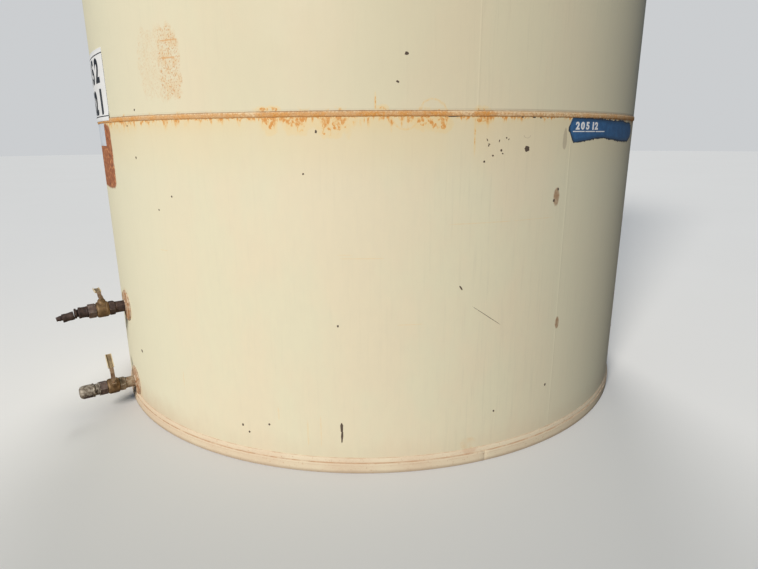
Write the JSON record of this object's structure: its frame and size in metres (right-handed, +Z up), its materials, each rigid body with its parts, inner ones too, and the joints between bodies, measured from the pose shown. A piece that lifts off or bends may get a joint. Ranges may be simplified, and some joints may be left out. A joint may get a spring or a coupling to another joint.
{
  "type": "vertical storage tank",
  "caption": "Upright welded steel storage tank with a shallow cone deck, a roof manway, a gooseneck vent and ball-valve outlets low on one side.",
  "frame": {"origin": "centre of the flat underside of the bottom plate", "axes": "+Z up the tank's axis, -Y towards the pictured front, the outlets low on the -X side towards the front"},
  "size_m": [3.3806, 3.2996, 5.189],
  "materials": {
    "shell_paint": "weathered cream enamel, satin to matt",
    "foot_paint": "cream paint stained tan by soil and rust",
    "rusty_weld": "cream paint broken by orange rust",
    "rusty_pad": "rusty steel with remains of cream paint",
    "painted_pipe": "dirty cream paint over rusty pipe",
    "valve_brass": "dull weathered brass",
    "rusty_steel": "rusty steel strip",
    "grip_vinyl": "faded tan vinyl",
    "dark_pipe": "dark grey-brown rusty pipe fitting",
    "cast_aluminium": "dull cast aluminium, dirty"
  },
  "bodies": {
    "root": {"bottom_plate": "foot_paint", "base_ring_1": "foot_paint", "base_ring_2": "foot_paint", "base_ring_3": "foot_paint", "foot_bead": "foot_paint", "lower_shell_plate_1": "shell_paint", "lower_shell_plate_2": "shell_paint", "lower_shell_plate_3": "shell_paint", "middle_shell_plate_1": "shell_paint", "middle_shell_plate_2": "shell_paint", "middle_shell_plate_3": "shell_paint", "upper_shell_plate_1": "shell_paint", "upper_shell_plate_2": "shell_paint", "upper_shell_plate_3": "shell_paint", "lower_girth_weld": "rusty_weld", "upper_girth_weld": "rusty_weld", "rim_angle": "shell_paint", "deck_plate_1": "shell_paint", "deck_plate_2": "shell_paint", "deck_plate_3": "shell_paint", "manway_neck": "shell_paint", "manway_cover": "shell_paint", "vent_pipe": "shell_paint", "vent_bend": "shell_paint", "lifting_lug_left": "shell_paint", "lifting_lug_right": "shell_paint", "lower_outlet_pad": "rusty_pad", "lower_nozzle": "painted_pipe", "lower_valve_body": "valve_brass", "lower_cam_adapter": "dark_pipe", "lower_dust_cap": "cast_aluminium", "upper_outlet_pad": "rusty_pad", "upper_nozzle": "painted_pipe", "upper_valve_body": "valve_brass", "upper_coupling": "dark_pipe", "upper_tail": "dark_pipe", "upper_end_plug": "dark_pipe"},
    "lower_handle": {"lower_stem": "valve_brass", "lower_stem_nut": "rusty_steel", "lower_lever": "rusty_steel", "lower_grip": "grip_vinyl"},
    "upper_handle": {"upper_stem": "valve_brass", "upper_stem_nut": "rusty_steel", "upper_lever": "rusty_steel", "upper_grip": "grip_vinyl"}
  },
  "joints": [
    {"name": "lower_valve_turn", "type": "hinge", "parent": "root", "child": "lower_handle", "pos_m": [-1.42677, -0.96237, 0.145], "axis": [0.422, -0.6257, 0.6561], "range_deg": [0, 90]},
    {"name": "upper_valve_turn", "type": "hinge", "parent": "root", "child": "upper_handle", "pos_m": [-1.42677, -0.96237, 0.588], "axis": [0, 0, 1], "range_deg": [0, 90]}
  ]
}
